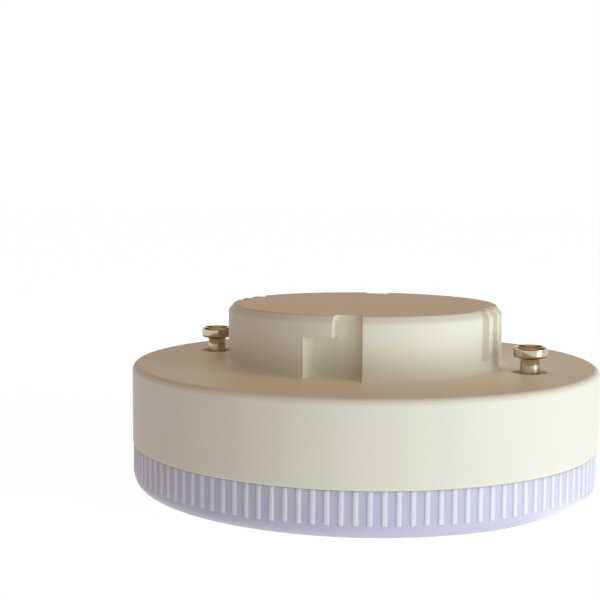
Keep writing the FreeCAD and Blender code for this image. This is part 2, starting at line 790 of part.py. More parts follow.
def heat_sink_cup():
    """A pressed cup: its floor carries the light-emitting board, its wall lines the housing."""
    body = new_body("heat_sink_cup")
    section = outline(new_sketch(body, "cup_section", "XZ_Plane"), [
        ("wire_hole_radius", CUP_FLOOR),
        (CUP_RADIUS, CUP_FLOOR),
        (CUP_RADIUS, CEILING),
        (f"{CUP_RADIUS} - cup_wall", CEILING),
        (f"{CUP_RADIUS} - cup_wall", CUP_TOP),
        ("wire_hole_radius", CUP_TOP),
    ])
    turned(body, "cup", section)
    rounded(body, "cup_corner", [(CUP_RADIUS, CUP_FLOOR)], "cup_corner_fillet")
    bore = circles(new_sketch(body, "cup_hole_outline", "XY_Plane", ("0", "0", CUP_TOP)),
                   [("0", "board_screw_circle")], "board_screw_radius + screw_fit")
    hole = raised(body, "cup_hole", bore, f"cup_wall + {OVERRUN}", "Pocket")
    repeated(body, "cup_holes", [hole], "board_screw_count")
    return body


def led_board():
    body = new_body("led_board")
    disc = circles(new_sketch(body, "led_board_outline", "XY_Plane", ("0", "0", LED_BOARD_FACE)),
                   [("0", "0")], LED_BOARD_RADIUS)
    raised(body, "led_board_disc", disc, "led_board_thickness")
    middle = circles(new_sketch(body, "led_board_hole_outline", "XY_Plane", ("0", "0", CUP_FLOOR)),
                     [("0", "0")], "led_board_hole_radius")
    raised(body, "led_board_hole", middle, f"led_board_thickness + {OVERRUN}", "Pocket")
    bore = circles(new_sketch(body, "board_screw_hole_outline", "XY_Plane", ("0", "0", CUP_FLOOR)),
                   [("0", "board_screw_circle")], "board_screw_radius + screw_clearance")
    hole = raised(body, "board_screw_hole", bore, f"led_board_thickness + {OVERRUN}", "Pocket")
    repeated(body, "board_screw_holes", [hole], "board_screw_count")
    return body


def led_chips():
    """Two rings of chips on the board's face."""
    body = new_body("led_chips")
    for name, ring, count in (("outer", OUTER_RING, "outer_ring_count"),
                              ("inner", "inner_ring_radius", "inner_ring_count")):
        chip = outline(
            new_sketch(body, f"{name}_chip_outline", "XY_Plane", ("0", "0", LED_BOARD_FACE)),
            rectangle(f"-led_width / 2", f"led_width / 2",
                      f"{ring} - led_length / 2", f"{ring} + led_length / 2"))
        solid = raised(body, f"{name}_chip", chip, "led_height", flip=True)
        repeated(body, f"{name}_chips", [solid], count)
    return body


def screw_group(label, circle, count, seat, grip, radius, head_radius, head_height):
    """Pan-head screws on a circle, with the head below the seat and the tip above it."""
    body = new_body(label)
    head = f"{seat} - {head_height}"
    recess = f"{head} + socket_depth"
    section = outline(new_sketch(body, f"{label}_section", "YZ_Plane", (circle, "0", "0")), [
        ("socket_radius", head),
        (f"{head_radius} - {head_height} / 3", head),
        (head_radius, f"{head} + {head_height} / 3"),
        (head_radius, seat),
        (radius, seat),
        (radius, f"{seat} + {grip} - {radius} / 2"),
        (f"{radius} / 2", f"{seat} + {grip}"),
        ("0", f"{seat} + {grip}"),
        ("0", recess),
        ("socket_radius", recess),
    ])
    screw = turned(body, f"{label}_screw", section)
    repeated(body, f"{label}_copies", [screw], count)
    return body


def led_board_screws():
    return screw_group("led_board_screws", "board_screw_circle", "board_screw_count", LED_BOARD_FACE,
                       "board_screw_grip", "board_screw_radius", "board_screw_head_radius",
                       "board_screw_head_height")


def insulating_sheet():
    """A thin disc between the cup's floor and the driver, with holes for screw tips and wires."""
    body = new_body("insulating_sheet")
    disc = circles(new_sketch(body, "sheet_outline", "XY_Plane", ("0", "0", CUP_TOP)),
                   [("0", "0")], SHEET_RADIUS)
    raised(body, "sheet_disc", disc, "sheet_thickness")
    upper = ("0", "0", f"{CUP_TOP} + sheet_thickness")
    middle = circles(new_sketch(body, "sheet_hole_outline", "XY_Plane", upper),
                     [("0", "0")], "wire_hole_radius")
    raised(body, "sheet_hole", middle, f"sheet_thickness + {OVERRUN}", "Pocket")
    bore = circles(new_sketch(body, "tip_hole_outline", "XY_Plane", upper),
                   [("0", "board_screw_circle")], "board_screw_radius + sheet_hole_clearance")
    hole = raised(body, "tip_hole", bore, f"sheet_thickness + {OVERRUN}", "Pocket")
    repeated(body, "tip_holes", [hole], "board_screw_count")
    return body


# Driver board

def driver_board():
    body = new_body("driver_board")
    disc = circles(new_sketch(body, "driver_outline", "XY_Plane", ("0", "0", DRIVER_UNDERSIDE)),
                   [("0", "0")], DRIVER_RADIUS)
    raised(body, "driver_disc", disc, "driver_thickness")
    upper = ("0", "0", DRIVER_TOP)
    spots = (INPUT_LEADS + OUTPUT_LEADS + FILM_LEADS + CHOKE_LEADS + VARISTOR_LEADS
             + RESISTOR_LEADS + DIODE_LEADS + BOBBIN_LEADS)
    drills = circles(new_sketch(body, "lead_hole_outline", "XY_Plane", upper),
                     spots, "lead_hole_radius")
    raised(body, "lead_holes", drills, f"driver_thickness + {OVERRUN}", "Pocket")
    bore = circles(new_sketch(body, "driver_screw_hole_outline", "XY_Plane", upper),
                   [("0", POST_CIRCLE)], "driver_screw_radius + screw_clearance")
    hole = raised(body, "driver_screw_hole", bore, f"driver_thickness + {OVERRUN}", "Pocket")
    repeated(body, "driver_screw_holes", [hole], "post_count")
    return body


def driver_screws():
    return screw_group("driver_screws", POST_CIRCLE, "post_count", DRIVER_UNDERSIDE,
                       "(driver_thickness + driver_screw_bite)", "driver_screw_radius",
                       "driver_screw_head_radius", "driver_screw_head_height")


def can(name, radius, length):
    """An electrolytic capacitor's can, with a rolled bead above its seal, standing at its own origin."""
    body = new_body(name)
    bead = f"{radius} * 0.92"
    section = outline(new_sketch(body, f"{name}_section", "XZ_Plane"), [
        ("0", "0"),
        (f"{radius} * 0.95", "0"),
        (radius, f"{radius} * 0.1"),
        (radius, f"{radius} * 0.3"),
        (bead, f"{radius} * 0.45"),
        (radius, f"{radius} * 0.6"),
        (radius, f"{length} - {radius} * 0.1"),
        (f"{radius} * 0.9", length),
        ("0", length),
    ])
    turned(body, f"{name}_can", section)
    return body


def input_capacitor():
    """The large capacitor lies on the board, with its leads bent down through it."""
    body = can("input_can", "input_capacitor_radius", "input_capacitor_length")
    axis_level = f"{DRIVER_TOP} + input_capacitor_radius + input_capacitor_lift"
    lying = FreeCAD.Rotation(FreeCAD.Vector(1, 0, 0), -90)
    body.Placement = FreeCAD.Placement(FreeCAD.Vector(), lying)
    place(body, ("input_capacitor_across", INPUT_END, axis_level))
    pieces = [body]
    for index, spot in enumerate(INPUT_LEADS):
        lead = [
            (spot[0], f"{INPUT_END} + {SINK}", axis_level),
            (spot[0], spot[1], axis_level),
            (spot[0], spot[1], LEAD_END),
        ]
        pieces.append(swept(f"input_lead_{index}", "lead_radius", lead, bend=LEAD_BEND))
    return joined("input_capacitor", pieces)


def output_capacitor():
    body = can("output_can", "output_capacitor_radius", "output_capacitor_length")
    place(body, ("output_capacitor_across", "output_capacitor_along", DRIVER_TOP))
    leads = [through_lead(f"output_lead_{index}", spot, f"{DRIVER_TOP} + {SINK}")
             for index, spot in enumerate(OUTPUT_LEADS)]
    return joined("output_capacitor", [body] + leads)


def film_capacitor():
    case = block("film_case", ("film_length", "film_width", "film_height"),
                 ("film_across - film_length / 2", "film_along - film_width / 2", DRIVER_TOP))
    leads = [through_lead(f"film_lead_{index}", spot, f"{DRIVER_TOP} + {SINK}")
             for index, spot in enumerate(FILM_LEADS)]
    return joined("film_capacitor", [case] + leads)


def transformer_core():
    """A ferrite frame whose round middle leg goes through the bobbin."""
    base = f"{DRIVER_TOP} + core_lift"
    left = f"core_across - {CORE_WIDTH} / 2"
    front = "core_along - core_depth / 2"
    frame = block("core_frame", (CORE_WIDTH, "core_depth", CORE_HEIGHT), (left, front, base))
    window = block("core_window",
                   (f"{CORE_WIDTH} - 2 * core_leg", f"core_depth + 2 * {OVERRUN}",
                    f"{CORE_HEIGHT} - 2 * core_leg"),
                   (f"{left} + core_leg", f"{front} - {OVERRUN}", f"{base} + core_leg"))
    ring = cut("core_ring", frame, window)
    post = rod("core_post", "core_post_radius", f"{CORE_HEIGHT} - 2 * core_leg + 2 * {SINK}",
               ("core_across", "core_along", f"{base} + core_leg - {SINK}"))
    return joined("transformer_core", [ring, post])


BOBBIN_LOW = f"({DRIVER_TOP} + core_lift + core_leg)"
BOBBIN_LENGTH = f"({CORE_HEIGHT} - 2 * core_leg)"
BOBBIN_BORE = "(core_post_radius + bobbin_fit)"


def spool_section(body, name, bore, barrel, flange, wall, length):
    return outline(new_sketch(body, name, "XZ_Plane"), [
        (bore, "0"),
        (flange, "0"),
        (flange, wall),
        (barrel, wall),
        (barrel, f"{length} - {wall}"),
        (flange, f"{length} - {wall}"),
        (flange, length),
        (bore, length),
    ])


def transformer_bobbin():
    """A spool on the middle leg, with four pins on feet that go down through the board."""
    body = new_body("bobbin_spool")
    section = spool_section(body, "spool_section", BOBBIN_BORE, f"({BOBBIN_BORE} + bobbin_wall)",
                            "bobbin_flange_radius", "bobbin_wall", BOBBIN_LENGTH)
    turned(body, "spool", section)
    place(body, ("core_across", "core_along", BOBBIN_LOW))
    pieces = [body]
    for index, spot in enumerate(BOBBIN_LEADS):
        reach = f"({BOBBIN_LOW} + bobbin_wall - {DRIVER_TOP})"
        foot = block(f"bobbin_foot_{index}", ("bobbin_foot", "bobbin_foot", reach),
                     (f"{spot[0]} - bobbin_foot / 2", f"{spot[1]} - bobbin_foot / 2", DRIVER_TOP))
        pieces.append(foot)
        pieces.append(through_lead(f"bobbin_pin_{index}", spot, f"{DRIVER_TOP} + {SINK}"))
    return joined("transformer_bobbin", pieces)


def ring_winding(label, bore, radius, length, spot):
    """A wound coil: one closed ring of wire between two flanges."""
    body = new_body(label)
    section = outline(new_sketch(body, f"{label}_section", "XZ_Plane"),
                      rectangle(bore, radius, "0", length))
    turned(body, f"{label}_coil", section)
    return place(body, spot)


def transformer_winding():
    return ring_winding(
        "transformer_winding", f"{BOBBIN_BORE} + bobbin_wall + winding_fit", WINDING_RADIUS,
        f"{BOBBIN_LENGTH} - 2 * bobbin_wall - 2 * winding_fit",
        ("core_across", "core_along", f"{BOBBIN_LOW} + bobbin_wall + winding_fit"))


def choke_core():
    """A ferrite drum that stands on the board."""
    body = new_body("choke_drum")
    section = outline(new_sketch(body, "drum_section", "XZ_Plane"), [
        ("0", "0"),
        ("choke_radius", "0"),
        ("choke_radius", "choke_flange"),
        ("choke_waist_radius", "choke_flange"),
        ("choke_waist_radius", "choke_height - choke_flange"),
        ("choke_radius", "choke_height - choke_flange"),
        ("choke_radius", "choke_height"),
        ("0", "choke_height"),
    ])
    turned(body, "drum", section)
    place(body, ("choke_across", "choke_along", DRIVER_TOP))
    leads = [through_lead(f"choke_lead_{index}", spot, f"{DRIVER_TOP} + {SINK}")
             for index, spot in enumerate(CHOKE_LEADS)]
    return joined("choke_core", [body] + leads)


def choke_winding():
    return ring_winding(
        "choke_winding", "choke_waist_radius + winding_fit", "choke_winding_radius",
        "choke_height - 2 * choke_flange - 2 * winding_fit",
        ("choke_across", "choke_along", f"{DRIVER_TOP} + choke_flange + winding_fit"))


def varistor():
    """A coated disc on its edge, facing along Y."""
    middle = f"{DRIVER_TOP} + varistor_lift + varistor_radius"
    disc = rod("varistor_disc", "varistor_radius", "varistor_thickness",
               ("varistor_across", "varistor_along - varistor_thickness / 2", middle), along="Y")
    leads = [through_lead(f"varistor_lead_{index}", spot, middle)
             for index, spot in enumerate(VARISTOR_LEADS)]
    return joined("varistor", [disc] + leads)


def fusible_resistor():
    """A coated resistor with thicker end caps, lying along X."""
    body = new_body("resistor_barrel")
    cap = "resistor_length * 0.2"
    section = outline(new_sketch(body, "resistor_section", "XZ_Plane"), [
        ("0", "0"),
        ("resistor_radius", "0"),
        ("resistor_radius", cap),
        ("resistor_waist_radius", f"{cap} + resistor_radius - resistor_waist_radius"),
        ("resistor_waist_radius", f"resistor_length - {cap} - resistor_radius + resistor_waist_radius"),
        ("resistor_radius", f"resistor_length - {cap}"),
        ("resistor_radius", "resistor_length"),
        ("0", "resistor_length"),
    ])
    turned(body, "resistor_turned", section)
    level = f"{DRIVER_TOP} + resistor_radius + resistor_lift"
    lying = FreeCAD.Rotation(FreeCAD.Vector(0, 1, 0), 90)
    body.Placement = FreeCAD.Placement(FreeCAD.Vector(), lying)
    place(body, ("resistor_across - resistor_length / 2", "resistor_along", level))
    lead = bridging_lead("resistor_lead", RESISTOR_LEADS, level)
    return joined("fusible_resistor", [body, lead])


def output_diode():
    level = f"{DRIVER_TOP} + diode_radius + diode_lift"
    barrel = rod("diode_barrel", "diode_radius", "diode_length",
                 ("diode_across", "diode_along - diode_length / 2", level), along="Y")
    lead = bridging_lead("diode_lead", DIODE_LEADS, level)
    return joined("output_diode", [barrel, lead])


# Parts under the driver board

def hung_block(name, length, width, height, across, along):
    """A box soldered to the driver board's underside, centred on a spot."""
    return block(name, (length, width, height),
                 (f"{across} - {length} / 2", f"{along} - {width} / 2",
                  f"{DRIVER_UNDERSIDE} - {height}"))


def legged_chip(label, prefix, legs):
    """A chip body with small legs along its two long sides, all against the board."""
    across, along = f"{prefix}_across", f"{prefix}_along"
    width = f"{prefix}_width"
    pieces = [hung_block(f"{label}_case", f"{prefix}_length", width, f"{prefix}_height", across, along)]
    for index in range(legs):
        shift = f"({index} - {(legs - 1) / 2}) * chip_leg_pitch * {4 / legs}"
        leg = hung_block(f"{label}_leg_{index}", "chip_leg_width",
                         f"({width} + 2 * chip_leg_reach)", "chip_leg_height",
                         f"({across} + {shift})", along)
        pieces.append(leg)
    return joined(label, pieces)


def bridge_rectifier():
    return legged_chip("bridge_rectifier", "bridge", legs=2)


def driver_chip():
    return legged_chip("driver_chip", "chip", legs=4)


def chip_row(label, prefix, count):
    """Small chips side by side along X."""
    chips = [
        hung_block(f"{label}_{index}", f"{prefix}_width", f"{prefix}_length", f"{prefix}_height",
                   f"({prefix}_across + {index} * {prefix}_pitch)", f"{prefix}_along")
        for index in range(count)
    ]
    return grouped(label, chips)


def chip_resistors():
    return chip_row("chip_resistors", "small_resistor", 4)


def chip_capacitors():
    return chip_row("chip_capacitors", "small_capacitor", 3)


# Insulated wires between the pieces

def mains_wire(label, side):
    """From a tag's solder ear, round the driver board's edge and up to its underside."""
    level = f"{TAG_UNDERSIDE} - mains_wire_radius"
    dip = f"{DRIVER_UNDERSIDE} - mains_wire_dip"
    board_spot = f"{side}({PIN_CIRCLE} - mains_wire_reach)"
    return swept(label, "mains_wire_radius", [
        (f"{side}{PIN_CIRCLE}", "tag_ear_length / 2", level),
        (f"{side}{PIN_CIRCLE}", "tag_ear_length + mains_wire_run", level),
        (f"{side}({PIN_CIRCLE} - mains_wire_sway)", "tag_ear_length + mains_wire_turn", dip),
        (board_spot, "tag_ear_length + mains_wire_landing", dip),
        (board_spot, "tag_ear_length + mains_wire_landing", DRIVER_UNDERSIDE),
    ])


def led_wire(label, side):
    """From the driver board, down the middle hole and out over the light-emitting board."""
    column = f"{side}led_wire_spacing / 2"
    on_board = f"{LED_BOARD_FACE} - led_wire_radius"
    return swept(label, "led_wire_radius", [
        (column, "led_wire_start", DRIVER_UNDERSIDE),
        (column, "led_wire_start", "led_wire_level"),
        (column, "0", "led_wire_level"),
        (column, "0", on_board),
        (column, "led_wire_end", on_board),
    ])


# Build every piece, check it and write it out

nodes = [
    base_housing(),
    contact_pins(),
    terminal_tags(),
    diffuser(),
    heat_sink_cup(),
    led_board(),
    led_chips(),
    led_board_screws(),
    insulating_sheet(),
    driver_board(),
    driver_screws(),
    input_capacitor(),
    output_capacitor(),
    film_capacitor(),
    transformer_core(),
    transformer_bobbin(),
    transformer_winding(),
    choke_core(),
    choke_winding(),
    varistor(),
    fusible_resistor(),
    output_diode(),
    bridge_rectifier(),
    driver_chip(),
    chip_resistors(),
    chip_capacitors(),
    mains_wire("live_wire", ""),
    mains_wire("neutral_wire", "-"),
    led_wire("led_wire_positive", ""),
    led_wire("led_wire_negative", "-"),
]
doc.recompute()

for thing in doc.Objects:
    if "Invalid" in thing.State or "Error" in thing.State:
        raise RuntimeError(f"{thing.Name} failed to build")
for node in nodes:
    if node.Shape.isNull() or not node.Shape.isValid() or not node.Shape.Solids:
        raise RuntimeError(f"{node.Label} is not a valid solid")

os.makedirs("parts", exist_ok=True)
for node in nodes:
    node.Shape.exportStep(f"parts/{node.Label}.step")
print(f"{len(nodes)} nodes, {sum(len(node.Shape.Solids) for node in nodes)} solids")
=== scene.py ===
import json
import math

import bpy
import numpy as np
from mathutils import Matrix, Vector
from mathutils.geometry import delaunay_2d_cdt


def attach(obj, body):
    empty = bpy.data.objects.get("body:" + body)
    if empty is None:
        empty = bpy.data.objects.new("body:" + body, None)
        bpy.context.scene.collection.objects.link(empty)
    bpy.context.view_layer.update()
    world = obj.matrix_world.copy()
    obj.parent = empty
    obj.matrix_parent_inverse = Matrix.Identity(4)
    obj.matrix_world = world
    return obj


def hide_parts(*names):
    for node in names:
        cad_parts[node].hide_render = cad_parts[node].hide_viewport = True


MM = 0.001

# Sizes in millimetres and angles in degrees from the pin on +X. The flutes, the edge and foot of the
# boss, the slots' edges, the pins and their recesses, the corner of the cup and its ribs follow the photo
# more closely than the solids do. What else shows has the solids' own sizes, and the inside is plainer.
HOUSING_RADIUS = 36.0
HOUSING_BORE = 34.4
HOUSING_EDGE_ROUND = 1.0
SEAM = 7.5
SEAM_EDGE_ROUND = 0.25
BACK = 19.5
CEILING = 17.7

TOP = 28.5
BOSS_RADIUS = 21.2
BOSS_BORE = 19.4
BOSS_CEILING = 26.9
# The boss's top edge slopes in and down, and an arc leads from the slope into the wall
EDGE_INSET, EDGE_DROP, EDGE_ROUND = 0.85, 1.0, 0.8
# The rounding of its foot grows in two steps, each with its start past a slot's far end and its width
FOOT_ROUND_AT_SLOT, FOOT_ROUND_AT_PIN, FOOT_ROUND = 0.4, 0.9, 2.2
FOOT_STEP_TO_PIN, FOOT_STEP_PAST_PIN = (3, 50), (100, 25)
# No slot or flute reaches further in than this on the top
UNCUT_RADIUS = 17.8

SLOT_FAR, SLOT_ENTRY, SLOT_NEAR = -91.0, -79.2, -68.0
SLOT_RUN_TOP = 25.4
SLOT_FLOOR = 18.6
SLOT_DEPTH = BOSS_RADIUS - SLOT_FLOOR
SLOT_BACKING = 17.0
SLOT_BACKING_MARGIN = 6.0
SLOT_EDGE_ROUND, SLOT_CORNER_ROUND = 0.14, 0.22
SLOT_TOP_ROUND = 0.1

FLUTES = ((-13.3, -7.2), (-3.1, 2.8), (7.1, 13.2))
FLUTE_DEPTH = 1.05
FLUTE_FOOT = 21.3
FLUTE_EDGE_ROUND = 0.12
FLUTE_FOOT_ROUND = 0.16
FLUTE_RUN_IN = 1.1

PIN_CIRCLE = 26.5
PIN_RECESS = 2.5
PIN_RECESS_FLOOR = BACK - 0.9
PIN_HOLE = 1.6
PIN_HEAD_TOP = BACK + 3.85
PIN_HEAD_LOW = BACK + 2.2
# The dish in the head is part of a ball of this radius, and reaches this far from the pin's middle
PIN_DISH_RADIUS, PIN_DISH_REACH = 3.6, 2.0

DIFFUSER_RADIUS = 35.9
RIB_COUNT = 120
VALLEY_CENTRE = 1.82
VALLEY_HALF_WIDTH = 0.62
VALLEY_DEPTH = 0.15
VALLEY_FOOT = 2.85
VALLEY_CORNER = 0.15
VALLEY_SIDE = 0.26
FACE_CORNER_ROUND = 1.7
FACE_DOME_RADIUS = 88.1
FACE_FLAT_RADIUS = 22.0
DIFFUSER_FLOOR = 1.4

# Mesh steps: distances from a cut's edge in millimetres, spacings in degrees and points of a circle
EDGE_OFFSETS = (-0.16, -0.12, -0.08, -0.04, -0.01, 0.0, 0.04, 0.08, 0.13, 0.19, 0.26)
BOSS_SPACING = 1.5
HOUSING_SPACING = 1.25
RECESS_POINTS = 64
PIN_POINTS = 96

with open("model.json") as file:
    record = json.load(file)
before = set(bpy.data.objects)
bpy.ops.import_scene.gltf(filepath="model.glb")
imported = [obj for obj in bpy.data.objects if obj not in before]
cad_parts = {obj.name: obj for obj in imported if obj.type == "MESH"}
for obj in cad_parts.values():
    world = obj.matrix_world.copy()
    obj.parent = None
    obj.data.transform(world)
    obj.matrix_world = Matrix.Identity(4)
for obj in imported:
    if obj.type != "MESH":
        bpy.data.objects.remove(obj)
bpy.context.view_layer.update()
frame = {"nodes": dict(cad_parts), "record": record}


# Meshes

def add_object(name, data):
    made = bpy.data.objects.new(name, data)
    bpy.context.scene.collection.objects.link(made)
    return made


def mesh_object(name, shell, look, node):
    """A smooth mesh piece in millimetres that stands for a CAD node."""
    mesh = bpy.data.meshes.new(name)
    mesh.from_pydata([tuple(p) for p in np.asarray(shell.points) * MM], [], shell.faces)
    mesh.validate()
    mesh.shade_smooth()
    mesh.materials.append(look)
    made = add_object(name, mesh)
    even = made.modifiers.new("even_normals", "WEIGHTED_NORMAL")
    even.weight = 60
    even.keep_sharp = True
    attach(made, "root")
    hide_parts(node)


def arc(centre, radius, start, end, steps):
    """Points (radius, level) on an arc, with the angles in degrees from the outward direction."""
    turns = np.radians(np.linspace(start, end, steps + 1))
    return [(centre[0] + radius * math.cos(t), centre[1] + radius * math.sin(t)) for t in turns]


def rounding(distance):
    """A smooth rise from 0 to 1 between the distances 0 and 1."""
    return 0.5 - 0.5 * np.cos(np.pi * np.clip(distance, 0, 1))


class Shell:
    """Collects rings of points and the faces between them."""

    def __init__(self):
        self.points = []
        self.faces = []

    def ring(self, angles, radii, levels):
        """Adds a ring and returns the numbers of its points."""
        first = len(self.points)
        turns = np.radians(angles)
        radii = np.broadcast_to(radii, turns.shape)
        levels = np.broadcast_to(levels, turns.shape)
        self.points += list(zip(radii * np.cos(turns), radii * np.sin(turns), levels))
        return list(range(first, len(self.points)))

    def circle(self, centre, radius, level, count):
        """Adds a circle with its centre on the X axis and returns the numbers of its points."""
        first = len(self.points)
        turns = np.arange(count) * 2 * math.pi / count
        self.points += [(centre + radius * math.cos(t), radius * math.sin(t), level) for t in turns]
        return list(range(first, len(self.points)))

    def strip(self, upper, lower):
        """Quads between two rings of the same count, facing out where the second is below or outside."""
        count = len(upper)
        for i in range(count):
            j = (i + 1) % count
            self.faces.append((upper[i], lower[i], lower[j], upper[j]))

    def loft(self, rings):
        for upper, lower in zip(rings, rings[1:]):
            self.strip(upper, lower)

    def fan(self, ring, level, up, centre=0.0):
        """Closes a ring with a point in its middle."""
        middle = len(self.points)
        self.points.append((centre, 0.0, level))
        count = len(ring)
        for i in range(count):
            j = (i + 1) % count
            self.faces.append((middle, ring[i], ring[j]) if up else (middle, ring[j], ring[i]))

    def coarser(self, fine, coarse, step, down=True):
        """Joins a fine ring to one with a point at each step of it, below it or above it."""
        count = len(coarse)
        half = step // 2
        for k in range(count):
            a, b = coarse[k], coarse[(k + 1) % count]
            start = k * step
            trios = []
            for s in range(step):
                p = fine[(start + s) % len(fine)]
                q = fine[(start + s + 1) % len(fine)]
                trios.append((p, a, q) if s < half else (p, b, q))
            trios.append((fine[(start + half) % len(fine)], a, b))
            self.faces += trios if down else [trio[::-1] for trio in trios]

    def flat(self, outer, inner, holes, up):
        """Triangles on a level face between an outer ring, an inner ring and round holes."""
        loops = [outer, inner, *holes]
        numbers = [n for loop in loops for n in loop]
        spots = [Vector(self.points[n][:2]) for n in numbers]
        edges, start = [], 0
        for loop in loops:
            edges += [(start + i, start + (i + 1) % len(loop)) for i in range(len(loop))]
            start += len(loop)
        corners, _, triangles, sources, _, _ = delaunay_2d_cdt(spots, edges, [], 0, 1e-7)
        centres = [sum((Vector(self.points[n][:2]) for n in hole), Vector((0, 0))) / len(hole)
                   for hole in holes]
        reaches = [(Vector(self.points[hole[0]][:2]) - c).length for hole, c in zip(holes, centres)]
        inner_spots = np.array([self.points[n][:2] for n in inner])
        inner_angles = np.arctan2(inner_spots[:, 1], inner_spots[:, 0])
        inner_radii = np.hypot(*inner_spots.T)
        order = np.argsort(inner_angles)
        for a, b, c in triangles:
            middle = (corners[a] + corners[b] + corners[c]) / 3
            edge = np.interp(math.atan2(middle.y, middle.x), inner_angles[order], inner_radii[order],
                             period=2 * math.pi)
            if middle.length < edge * 0.9995:
                continue
            if any((middle - spot).length < reach * 0.999 for spot, reach in zip(centres, reaches)):
                continue
            trio = (numbers[sources[a][0]], numbers[sources[b][0]], numbers[sources[c][0]])
            faces_up = (corners[b] - corners[a]).cross(corners[c] - corners[a]) > 0
            self.faces.append(trio if faces_up == up else trio[::-1])


def step_share(distance, depth, outer, inner):
    """How far a wall has sunk, 0 to 1, at a distance inside a cut's edge, with both edges rounded."""
    d = np.asarray(distance, float)
    draft = 0.04
    shoulder = outer - np.sqrt(np.clip(outer ** 2 - (d + outer) ** 2, 0, None))
    wall = outer + (depth - outer - inner) * np.clip(d / draft, 0, 1)
    foot = depth - inner + np.sqrt(np.clip(inner ** 2 - (draft + inner - d) ** 2, 0, None))
    sunk = np.where(d < -outer, 0, np.where(d < 0, shoulder, np.where(d < draft, wall, foot)))
    return np.where(d > draft + inner, depth, sunk) / depth


def edge_columns(edges):
    """Angles all round the boss, closer together at each edge and each of them there once."""
    marks = []
    for angle, inward in edges:
        marks += [angle + inward * math.degrees(o / BOSS_RADIUS) for o in EDGE_OFFSETS]
    marks = sorted(m % 360 for m in marks)
    kept = [m for i, m in enumerate(marks) if i == 0 or m - marks[i - 1] > 0.02]
    extra = []
    for plain_angle in np.arange(0, 360, BOSS_SPACING):
        gap = np.abs((np.array(kept) - plain_angle + 180) % 360 - 180).min()
        if gap > BOSS_SPACING * 0.4:
            extra.append(plain_angle)
    return np.array(sorted(kept + extra))


def boss_columns():
    edges = []
    for half in (0.0, 180.0):
        edges += [(SLOT_FAR + half, 1), (SLOT_ENTRY + half, 1), (SLOT_NEAR + half, -1)]
        for low, high in FLUTES:
            edges += [(low + half, 1), (high + half, -1)]
    return edge_columns(edges)


def across(angles, start, end):
    """Distance in millimetres inside a band of the boss wall, which both halves of the boss have."""
    middle, half_width = (start + end) / 2, (end - start) / 2
    off = np.abs((angles - middle + 90) % 180 - 90)
    return np.radians(half_width - off) * BOSS_RADIUS


def boss_rows(angles, wall_levels):
    """Rows (radius, level) down the boss where nothing is cut into it."""
    crest = BOSS_RADIUS - EDGE_INSET
    fall = EDGE_DROP / EDGE_INSET
    slope = math.atan2(EDGE_INSET, EDGE_DROP)
    slope_end = BOSS_RADIUS - EDGE_ROUND + EDGE_ROUND * math.cos(slope)
    edge_centre = (BOSS_RADIUS - EDGE_ROUND,
                   TOP - (slope_end - crest) * fall - EDGE_ROUND * math.sin(slope))
    rows = [(UNCUT_RADIUS, TOP), (18.9, TOP), (20.0, TOP), (crest - 0.05, TOP),
            (crest + 0.02, TOP - 0.024), (crest + 0.35, TOP - 0.35 * fall)]
    rows += arc(edge_centre, EDGE_ROUND, math.degrees(slope), 0, 6)

    past_far_end = (SLOT_FAR - angles) % 180
    foot = FOOT_ROUND_AT_SLOT
    for growth, (start, width) in ((FOOT_ROUND_AT_PIN - FOOT_ROUND_AT_SLOT, FOOT_STEP_TO_PIN),
                                   (FOOT_ROUND - FOOT_ROUND_AT_PIN, FOOT_STEP_PAST_PIN)):
        foot = foot + growth * rounding((past_far_end - start) / width)
    rows += [(BOSS_RADIUS + foot - np.sqrt(foot ** 2 - np.clip(BACK + foot - z, 0, None) ** 2), z)
             for z in wall_levels]
    foot_start = np.arcsin(np.clip(1 - (wall_levels[-1] - 0.02 - BACK) / foot, 0, 1))
    for share in np.arange(8) / 7:
        turn = math.pi + foot_start + (math.pi / 2 - foot_start) * share
        rows.append((BOSS_RADIUS + foot * (1 + np.cos(turn)), BACK + foot * (1 + np.sin(turn))))
    return rows


def slot_rows(wall_levels):
    """As many rows down the floor of a slot."""
    rows = [(UNCUT_RADIUS, TOP), (18.1, TOP), (18.4, TOP)]
    rows += arc((SLOT_FLOOR - SLOT_TOP_ROUND, TOP - SLOT_TOP_ROUND), SLOT_TOP_ROUND, 90, 0, 9)
    rows += [(SLOT_FLOOR, z) for z in (*wall_levels, 20.5, 20.1, 19.85)]
    rows += [(SLOT_FLOOR + 0.03, 19.68), (SLOT_FLOOR + 0.1, 19.57), (SLOT_FLOOR + 0.22, 19.52)]
    return rows + [(20.0, BACK), (23.0, BACK)]


